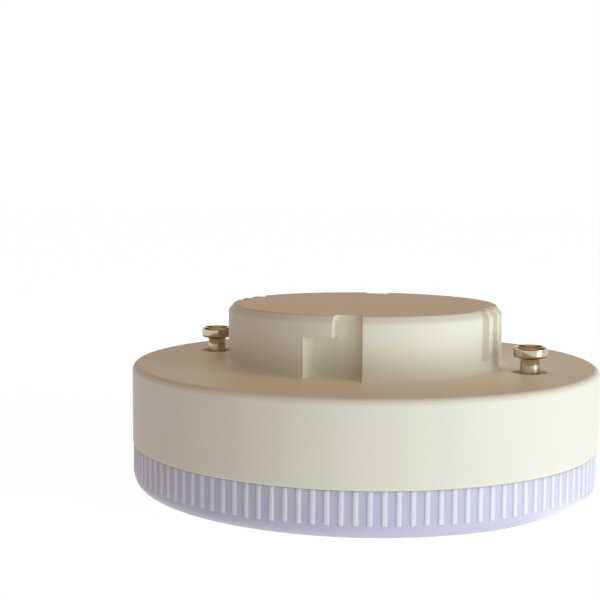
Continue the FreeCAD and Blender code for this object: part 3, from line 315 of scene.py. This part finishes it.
def boss_rings(shell, angles):
    """The boss from its uncut top down to the back plate, with its slots and flutes sunk in."""
    run_side = across(angles, SLOT_FAR, SLOT_NEAR)
    entry_side = across(angles, SLOT_ENTRY, SLOT_NEAR)
    flute_side = np.max([across(angles, *flute) for flute in FLUTES], axis=0)
    wall_levels = sorted({26.7, 26.1, *(SLOT_RUN_TOP - o for o in EDGE_OFFSETS), 24.4, 23.4, 22.5, 21.8,
                          FLUTE_FOOT + FLUTE_FOOT_ROUND, FLUTE_FOOT, 21.0}, reverse=True)
    rings = []
    for (r, z), (slot_r, slot_z) in zip(boss_rows(angles, wall_levels), slot_rows(wall_levels)):
        inside_slot = np.maximum(entry_side, np.minimum(run_side, SLOT_RUN_TOP - z))
        sunk = step_share(inside_slot, SLOT_DEPTH, SLOT_EDGE_ROUND, SLOT_CORNER_ROUND)
        fluted = step_share(flute_side, FLUTE_DEPTH, FLUTE_EDGE_ROUND, FLUTE_EDGE_ROUND)
        fluted = fluted * rounding((z - FLUTE_FOOT) / FLUTE_FOOT_ROUND)
        inward = FLUTE_DEPTH * np.clip((r - UNCUT_RADIUS) / FLUTE_RUN_IN, 0, 1)
        radii = r + (slot_r - r) * sunk - inward * fluted
        rings.append(shell.ring(angles, radii, z + (slot_z - z) * sunk))
    return rings


def build_housing(look):
    shell = Shell()
    angles = boss_columns()
    rings = boss_rings(shell, angles)
    shell.loft(rings)
    top_rings = [shell.ring(angles, r, TOP) for r in (6.0, 12.0)] + [rings[0]]
    shell.fan(top_rings[0], TOP, True)
    shell.loft(top_rings)

    edge_rows = [(34.6, BACK)]
    edge_rows += arc((HOUSING_RADIUS - HOUSING_EDGE_ROUND, BACK - HOUSING_EDGE_ROUND),
                     HOUSING_EDGE_ROUND, 90, 0, 10)
    edge_rows += [(HOUSING_RADIUS, z) for z in (17.6, 15.5, 13.0, 10.5, 8.8, 8.1)]
    edge_rows += arc((HOUSING_RADIUS - SEAM_EDGE_ROUND, SEAM + SEAM_EDGE_ROUND), SEAM_EDGE_ROUND, 0, -90, 5)
    edge_rows += [(HOUSING_BORE, SEAM), (HOUSING_BORE, CEILING)]
    plain_angles = np.arange(0, 360, HOUSING_SPACING)
    outer = [shell.ring(plain_angles, r, z) for r, z in edge_rows]
    shell.loft(outer)

    recess_rows = ((PIN_RECESS + 0.12, BACK), (PIN_RECESS + 0.05, BACK - 0.02), (PIN_RECESS, BACK - 0.08),
                   (PIN_RECESS, PIN_RECESS_FLOOR + 0.05), (PIN_RECESS - 0.05, PIN_RECESS_FLOOR),
                   (PIN_HOLE, PIN_RECESS_FLOOR), (PIN_HOLE, CEILING))
    holes, ceiling_holes = [], []
    for side in (1, -1):
        wells = [shell.circle(side * PIN_CIRCLE, r, z, RECESS_POINTS) for r, z in recess_rows]
        shell.loft([well[::-1] for well in wells])
        holes.append(wells[0])
        ceiling_holes.append(wells[-1])
    shell.flat(outer[0], rings[-1], holes, True)

    # Behind the slots the bore is narrower, because the wall is moulded round them
    backing = across(angles, SLOT_FAR - SLOT_BACKING_MARGIN, SLOT_NEAR + SLOT_BACKING_MARGIN)
    bore_radii = BOSS_BORE + (SLOT_BACKING - BOSS_BORE) * rounding((backing + 0.4) / 0.8)
    bore = [shell.ring(angles, bore_radii, z) for z in (CEILING, BOSS_CEILING)]
    shell.loft(bore)
    shell.flat(outer[-1], bore[0], ceiling_holes, False)
    shell.fan(bore[1], BOSS_CEILING, False)
    mesh_object("housing", shell, look, "base_housing")


def build_diffuser(look):
    shell = Shell()
    pitch = 360 / RIB_COUNT
    spread = (0.0, 0.26, 0.42, 0.52, 0.58, 0.64, 0.7, 0.78, 0.87)
    half = [math.degrees(s / DIFFUSER_RADIUS) for s in spread]
    pattern = [-a for a in half[:0:-1]] + half + [pitch / 2]
    angles = np.array([VALLEY_CENTRE + k * pitch + a for k in range(RIB_COUNT) for a in pattern])
    off = np.array([abs(a) for _ in range(RIB_COUNT) for a in pattern])
    from_valley = np.radians(off) * DIFFUSER_RADIUS
    floor_radius = DIFFUSER_RADIUS - VALLEY_DEPTH

    def side_radius(z):
        """Radius at a level: the valley floor, or the lands that stand up from it above their foot."""
        dx = VALLEY_HALF_WIDTH + VALLEY_CORNER - from_valley
        dz = VALLEY_FOOT + VALLEY_CORNER - z
        outside = np.hypot(np.clip(dx, 0, None), max(dz, 0.0)) - VALLEY_CORNER
        inside = -(outside + np.minimum(np.maximum(dx, dz), 0))
        return floor_radius + VALLEY_DEPTH * rounding(inside / VALLEY_SIDE + 0.5)

    side_levels = (7.38, 7.1, 6.4, 5.6, 4.8, 4.1, 3.7, 3.5, 3.36, 3.24, 3.14, 3.05, 2.97, 2.9, 2.84, 2.78,
                   2.7)
    fine = [shell.ring(angles, side_radius(SEAM - 0.1) - 0.1, SEAM)]
    fine += [shell.ring(angles, side_radius(z), z) for z in side_levels]
    shell.loft(fine)

    # Below the lands a coarser mesh does: the corner, the domed border and the flat middle
    step = len(pattern) // 2
    coarse_angles = angles[::step]
    low_rows = arc((floor_radius - FACE_CORNER_ROUND, 2.62), FACE_CORNER_ROUND, 0, -68, 9)
    low_rows += [(34.2, 0.89), (33.78, 0.8), (33.7, 0.775), (33.6, 0.765)]
    low_rows += [(r, FACE_DOME_RADIUS - math.sqrt(FACE_DOME_RADIUS ** 2 - (r - FACE_FLAT_RADIUS) ** 2))
                 for r in (33.3, 32.6, 31.5, 30.0, 28.0, 26.0, 24.0, FACE_FLAT_RADIUS)]
    low_rows += [(15.0, 0.0), (7.0, 0.0)]
    low = [shell.ring(coarse_angles, r, z) for r, z in low_rows]
    shell.coarser(fine[-1], low[0], step)
    shell.loft(low)
    shell.fan(low[-1], 0.0, False)

    inner_rows = ((34.2, SEAM), (34.2, 9.9), (34.05, 10.1), (33.1, 10.1), (33.1, 6.2), (34.5, 5.6),
                  (34.5, 3.0), (34.0, 2.4), (33.3, 2.15), (30.0, 1.75), (26.0, 1.5),
                  (22.0, DIFFUSER_FLOOR), (8.0, DIFFUSER_FLOOR))
    inner = [shell.ring(coarse_angles, r, z) for r, z in inner_rows]
    shell.loft(inner[::-1])
    shell.fan(inner[-1], DIFFUSER_FLOOR, True)
    lip = shell.ring(coarse_angles, DIFFUSER_RADIUS - 0.6, SEAM)
    shell.strip(inner[0], lip)
    shell.coarser(fine[0], lip, step, down=False)
    mesh_object("diffuser_cup", shell, look, "diffuser")


def build_pins(look):
    """Two turned pins with a dished, rounded head, in one piece."""
    shell = Shell()
    dish_centre = PIN_HEAD_TOP - 0.02 + math.sqrt(PIN_DISH_RADIUS ** 2 - PIN_DISH_REACH ** 2)
    rows = [(r, dish_centre - math.sqrt(PIN_DISH_RADIUS ** 2 - r ** 2))
            for r in (0.3, 0.7, 1.0, 1.3, 1.55, 1.8, 1.92)]
    rows += [(1.98, PIN_HEAD_TOP - 0.01), (2.01, PIN_HEAD_TOP)]
    rows += arc((2.0, PIN_HEAD_TOP - 0.5), 0.5, 85, 0, 9)
    rows += arc((2.1, PIN_HEAD_LOW + 0.4), 0.4, 0, -80, 7)
    rows += [(1.75, PIN_HEAD_LOW - 0.04), (1.5, PIN_HEAD_LOW - 0.12), (1.41, PIN_HEAD_LOW - 0.3),
             (1.45, BACK + 1.0), (1.49, BACK), (1.52, PIN_RECESS_FLOOR), (1.52, CEILING - 0.5),
             (1.0, CEILING - 0.6)]
    for side in (1, -1):
        rings = [shell.circle(side * PIN_CIRCLE, r, z, PIN_POINTS) for r, z in rows]
        shell.loft(rings)
        shell.fan(rings[0], rows[0][1], True, side * PIN_CIRCLE)
        shell.fan(rings[-1], rows[-1][1], False, side * PIN_CIRCLE)
    mesh_object("pins", shell, look, "contact_pins")


# Materials

DRIFT_SIZE = 9.0
GLOSS_SPREAD = 0.12


class Nodes:
    """Short forms for building a node tree."""

    def __init__(self, tree):
        self.tree = tree

    def add(self, kind, **settings):
        made = self.tree.nodes.new(kind)
        for name, value in settings.items():
            setattr(made, name, value)
        return made

    def set(self, socket, value):
        if hasattr(value, "links"):
            self.tree.links.new(value, socket)
        else:
            socket.default_value = value

    def math(self, operation, *values, clamp=False):
        made = self.add("ShaderNodeMath", operation=operation, use_clamp=clamp)
        for socket, value in zip(made.inputs, values):
            self.set(socket, value)
        return made.outputs[0]

    def place(self, kind="Object"):
        """X, Y and Z of a texture coordinate."""
        parts = self.add("ShaderNodeSeparateXYZ")
        self.set(parts.inputs[0], self.add("ShaderNodeTexCoord").outputs[kind])
        return parts.outputs

    def azimuth(self, place):
        return self.math("ARCTAN2", place["Y"], place["X"])

    def rise(self, length, start, width):
        """0 up to a start and 1 from a width past it, both in millimetres."""
        return self.math("MULTIPLY_ADD", length, 1 / (width * MM), -start / width, clamp=True)

    def noise(self, spot, size, detail):
        """Soft noise from 0 to 1 with spots of about the given size in millimetres."""
        made = self.add("ShaderNodeTexNoise")
        self.set(made.inputs["Vector"], spot)
        made.inputs["Scale"].default_value = 1 / (size * MM)
        made.inputs["Detail"].default_value = detail
        return made.outputs[0]

    def mix(self, share, first, second, kind="MIX"):
        made = self.add("ShaderNodeMix", data_type="RGBA", blend_type=kind)
        self.set(made.inputs["Factor"], share)
        for socket, value in ((made.inputs[6], first), (made.inputs[7], second)):
            self.set(socket, value if hasattr(value, "links") else (*value, 1.0))
        return made.outputs[2]

    def ramp(self, share, stops):
        """A colour that changes smoothly with the share, from stops of share and colour."""
        made = self.add("ShaderNodeValToRGB")
        marks = made.color_ramp.elements
        while len(marks) < len(stops):
            marks.new(0.5)
        for mark, (place, colour) in zip(marks, stops):
            mark.position = place
            mark.color = (*colour, 1.0)
        self.set(made.inputs[0], share)
        return made.outputs[0]

    def seen(self):
        """1 on rays that show the background: straight to the camera, mirrored or through glass."""
        path = self.add("ShaderNodeLightPath")
        mirrored = self.math("MAXIMUM", path.outputs["Is Camera Ray"], path.outputs["Is Glossy Ray"])
        return self.math("MAXIMUM", mirrored, path.outputs["Is Transmission Ray"])

    def show(self, share, first, second, output):
        """Sends a mix of two shaders to the output."""
        both = self.add("ShaderNodeMixShader")
        self.set(both.inputs["Fac"], share)
        self.set(both.inputs[1], first.outputs[0])
        self.set(both.inputs[2], second.outputs[0])
        self.set(self.tree.nodes[output].inputs["Surface"], both.outputs[0])


def material(name):
    """A new node material, its node tree and its main shader."""
    made = bpy.data.materials.new(name)
    made.use_nodes = True
    tree = made.node_tree
    return made, tree, tree.nodes["Principled BSDF"]


def finish(name, colour, roughness, metallic=0.0, grain=0.3, relief=0.0015, drift=0.02, **more):
    """A surface with fine grain (sizes in millimetres) and slightly uneven colour and gloss."""
    made, tree, shader = material(name)
    nodes = Nodes(tree)
    spot = nodes.add("ShaderNodeTexCoord").outputs["Object"]
    fine = nodes.noise(spot, grain, 2.0)
    wide = nodes.noise(spot, DRIFT_SIZE, 3.0)
    darker = [v * (1 - drift) for v in colour]
    lighter = [min(1.0, v * (1 + drift)) for v in colour]
    nodes.set(shader.inputs["Base Color"], nodes.mix(wide, darker, lighter))
    nodes.set(shader.inputs["Roughness"],
              nodes.math("MULTIPLY_ADD", fine, GLOSS_SPREAD, roughness - GLOSS_SPREAD / 2))
    bump = nodes.add("ShaderNodeBump")
    bump.inputs["Strength"].default_value = 0.5
    bump.inputs["Distance"].default_value = relief * MM
    nodes.set(bump.inputs["Height"], fine)
    nodes.set(shader.inputs["Normal"], bump.outputs[0])
    shader.inputs["Metallic"].default_value = metallic
    for socket, value in more.items():
        shader.inputs[socket.replace("_", " ")].default_value = value
    return made


def tint(look, tone, where):
    """Gives a finish another tone where the mask is 1."""
    nodes = Nodes(look.node_tree)
    colour = look.node_tree.nodes["Principled BSDF"].inputs["Base Color"]
    plain = colour.links[0].from_socket
    nodes.set(colour, nodes.mix(where(nodes, nodes.place()), plain, tone))


# Painted shade: the mask of the boss's flat top, which takes a warmer, darker tone
def painted_top_shade(nodes, place):
    return nodes.rise(place["Z"], TOP - 0.15, 0.1)


def lands(nodes, place):
    """The lands of the opal cup, by their distance from the axis and above their foot, where a highlight is
    painted.
    """
    squares = [nodes.math("POWER", place[axis], 2.0) for axis in ("X", "Y")]
    from_axis = nodes.math("SQRT", nodes.math("ADD", *squares))
    proud = nodes.rise(from_axis, DIFFUSER_RADIUS - VALLEY_DEPTH + 0.04, 0.09)
    return nodes.math("MULTIPLY", proud, nodes.rise(place["Z"], VALLEY_FOOT - 0.1, 0.1))


def srgb(red, green, blue):
    """Linear colour of an sRGB one given as 0 to 255."""
    def one(v):
        v = v / 255
        return v / 12.92 if v <= 0.04045 else ((v + 0.055) / 1.055) ** 2.4
    return one(red), one(green), one(blue)


housing = finish("housing_plastic", srgb(241, 238, 223), 0.45, Specular_IOR_Level=0.12)
opal = finish("opal_plastic", srgb(207, 206, 228), 0.4, relief=0.0005, drift=0.01, Subsurface_Weight=0.7,
              Subsurface_Radius=(0.0015, 0.0015, 0.0018), Subsurface_Scale=1.0)
nickel = finish("nickel", srgb(200, 186, 160), 0.14, 1.0, grain=0.15, relief=0.0005)
# Painted shade: the boss's flat top is a little warmer and darker than the rest, for the dim warm light
# from above
tint(housing, srgb(238, 223, 198), painted_top_shade)
# Painted highlight: the lands of the cup are painted lighter where they catch the light; their thicker
# plastic is a little whiter too
tint(opal, srgb(230, 230, 250), lands)

# Colour, roughness and metal of the inner pieces
SHADES = {
    "tinned_brass": ((200, 196, 186), 0.35, 1.0),
    "pressed_aluminium": ((205, 206, 208), 0.4, 1.0),
    "board_white": ((235, 235, 230), 0.45, 0.0),
    "led_yellow": ((238, 208, 70), 0.4, 0.0),
    "steel_screw": ((180, 182, 186), 0.3, 1.0),
    "clear_sheet": ((214, 214, 204), 0.5, 0.0),
    "board_green": ((38, 92, 52), 0.4, 0.0),
    "can_sleeve": ((26, 32, 44), 0.35, 0.0),
    "film_case": ((150, 40, 28), 0.35, 0.0),
    "ferrite": ((52, 52, 54), 0.6, 0.0),
    "bobbin_plastic": ((30, 30, 30), 0.5, 0.0),
    "enamelled_wire": ((176, 92, 44), 0.3, 1.0),
    "blue_coating": ((30, 66, 142), 0.45, 0.0),
    "resistor_coating": ((52, 108, 88), 0.5, 0.0),
    "black_epoxy": ((24, 24, 26), 0.5, 0.0),
    "chip_ceramic": ((160, 144, 118), 0.6, 0.0),
    "brown_insulation": ((92, 48, 28), 0.45, 0.0),
    "blue_insulation": ((30, 58, 130), 0.45, 0.0),
    "red_insulation": ((160, 28, 22), 0.45, 0.0),
    "black_insulation": ((16, 16, 16), 0.45, 0.0),
}
finishes = {name: finish(name, srgb(*tone), rough, metal) for name, (tone, rough, metal) in SHADES.items()}
finishes.update(housing_plastic=housing, opal_plastic=opal, nickel=nickel)

slot_of = {part["node"]: part["material_slot"] for part in frame["record"]["subparts"]}
for node, obj in frame["nodes"].items():
    obj.data.materials.clear()
    obj.data.materials.append(finishes[slot_of[node]])

build_housing(housing)
build_diffuser(opal)
build_pins(nickel)


# Floor, light and camera

# Half the floor's width in metres
FLOOR_HALF = 3.0
# The floor lies a hair under the lamp's face, so that the two are never in one plane
FLOOR_LEVEL = -0.02 * MM
# Share of the floor's own glow on rays that show the background, its strength and its tone
SHARE_OF_GLOW = 0.75
GLOW = 1.275
GLOW_TONE = (0.957, 0.981, 1.0)
# A painted pool of light in the floor's glow, brighter towards the key light, which the metal mirrors: its
# strength and degrees
POOL = 3.5
POOL_AZIMUTH, POOL_REACH, POOL_FADE = -10, 19.2, 12
LIGHT_STRENGTH = 4.8
# The room's soft light round the lamp, as azimuths with colours: it comes mostly from the right
ROUND_LIGHT = ((-180, (0.30, 0.30, 0.30)), (-165, (0.14, 0.12, 0.12)), (-145, (0.08, 0.05, 0.06)),
               (-118, (0.08, 0.05, 0.06)), (-94, (0.235, 0.19, 0.185)), (-64, (0.43, 0.45, 0.43)),
               (-34, (0.61, 0.72, 0.73)), (-4, (0.70, 0.79, 0.83)), (24, (0.56, 0.57, 0.59)),
               (50, (0.33, 0.33, 0.34)), (110, (0.30, 0.30, 0.30)), (180, (0.30, 0.30, 0.30)))
# Its share by height, from straight below (-1) to straight above (1): most is bounced by the table
HEIGHT_SHARE = ((-0.6, 0.0), (-0.38, 0.3), (-0.3, 1.0), (-0.15, 1.0), (-0.05, 0.4),
                (0.03, 0.16), (0.2, 0.24), (0.4, 0.24), (0.6, 0.0))
# Light that is the same all round, by height: warm from above and a little from right below
EVEN_LIGHT = ((-0.6, (0.125, 0.12, 0.115)), (-0.4, (0.0, 0.0, 0.0)), (0.4, (0.0, 0.0, 0.0)),
              (0.7, (0.03, 0.016, 0.011)), (0.88, (0.132, 0.087, 0.049)))
# Height at which the white behind the lamp ends, and the height over which it fades
BACKDROP_TOP, BACKDROP_FADE = 0.45, 0.2
# The key light, a soft lamp low at the right, in metres and watts
KEY_PLACE, KEY_AIM = (0.88, -0.06, 0.15), (0, 0, 0.02)
KEY_WIDTH, KEY_HEIGHT, KEY_POWER = 0.35, 0.2, 1.4
KEY_COLOUR = (0.95, 0.98, 1.0)
# The photo's camera: where it stands in millimetres, and its right, up and backward directions
CAMERA_PLACE = (73.34, -174.46, 45.91)
CAMERA_AXES = ((0.89956, 0.43676, 0.00653), (-0.04497, 0.07772, 0.99596), (0.43448, -0.89622, 0.08955))
LENS, SENSOR_WIDTH = 72.835, 36


def white_floor():
    look, tree, shader = material("floor_white")
    shader.inputs["Base Color"].default_value = (0.8, 0.8, 0.8, 1.0)
    shader.inputs["Roughness"].default_value = 1.0
    shader.inputs["Specular IOR Level"].default_value = 0.0
    nodes = Nodes(tree)
    # Painted pool of light: the glow is stronger in a wedge of azimuths towards the key light
    turned = nodes.math("ADD", nodes.azimuth(nodes.place()), -math.radians(POOL_AZIMUTH))
    pool = nodes.math("MULTIPLY_ADD", nodes.math("ABSOLUTE", turned), -1 / math.radians(POOL_FADE),
                      POOL_REACH / POOL_FADE, clamp=True)
    glow = nodes.add("ShaderNodeEmission")
    glow.inputs["Color"].default_value = (*GLOW_TONE, 1.0)
    nodes.set(glow.inputs["Strength"], nodes.math("MULTIPLY_ADD", pool, POOL - GLOW, GLOW))
    nodes.show(nodes.math("MULTIPLY", nodes.seen(), SHARE_OF_GLOW), shader, glow, "Material Output")
    return look


def soft_light():
    world = bpy.data.worlds.new("soft_light")
    world.use_nodes = True
    nodes = Nodes(world.node_tree)
    place = nodes.place("Generated")
    around = nodes.ramp(nodes.math("MULTIPLY_ADD", nodes.azimuth(place), 0.5 / math.pi, 0.5),
                        [(turn / 360 + 0.5, colour) for turn, colour in ROUND_LIGHT])
    height = nodes.math("MULTIPLY_ADD", place["Z"], 0.5, 0.5)
    share = nodes.ramp(height, [(z / 2 + 0.5, (part, part, part)) for z, part in HEIGHT_SHARE])
    even = nodes.ramp(height, [(z / 2 + 0.5, colour) for z, colour in EVEN_LIGHT])
    light = world.node_tree.nodes["Background"]
    nodes.set(light.inputs["Color"],
              nodes.mix(1.0, nodes.mix(1.0, around, share, kind="MULTIPLY"), even, kind="ADD"))
    light.inputs["Strength"].default_value = LIGHT_STRENGTH
    white = nodes.add("ShaderNodeBackground")
    white.inputs["Color"].default_value = (1.0, 1.0, 1.0, 1.0)
    backdrop = nodes.math("MULTIPLY_ADD", place["Z"], -1 / BACKDROP_FADE, BACKDROP_TOP / BACKDROP_FADE,
                          clamp=True)
    nodes.show(nodes.math("MULTIPLY", nodes.seen(), backdrop), light, white, "World Output")
    return world


scene = bpy.context.scene
scene.world = soft_light()

sheet = bpy.data.meshes.new("floor")
corners = [(x * FLOOR_HALF, y * FLOOR_HALF, FLOOR_LEVEL) for x, y in ((-1, -1), (1, -1), (1, 1), (-1, 1))]
sheet.from_pydata(corners, [], [(0, 1, 2, 3)])
sheet.materials.append(white_floor())
floor = add_object("floor", sheet)
floor.visible_diffuse = False
floor.visible_shadow = False

key = bpy.data.lights.new("key_light", "AREA")
key.shape = "RECTANGLE"
key.size = KEY_WIDTH
key.size_y = KEY_HEIGHT
key.energy = KEY_POWER
key.color = KEY_COLOUR
key_light = add_object("key_light", key)
key_light.location = KEY_PLACE
key_light.rotation_euler = (Vector(KEY_AIM) - Vector(KEY_PLACE)).to_track_quat("-Z", "Y").to_euler()

camera = add_object("camera", bpy.data.cameras.new("camera"))
camera.data.lens = LENS
camera.data.sensor_width = SENSOR_WIDTH
camera.data.clip_start = 0.01
camera.data.clip_end = 20
turn = Matrix(CAMERA_AXES).transposed().to_4x4()
camera.matrix_world = Matrix.Translation(Vector(CAMERA_PLACE) * MM) @ turn
scene.camera = camera
scene.view_settings.view_transform = "Standard"
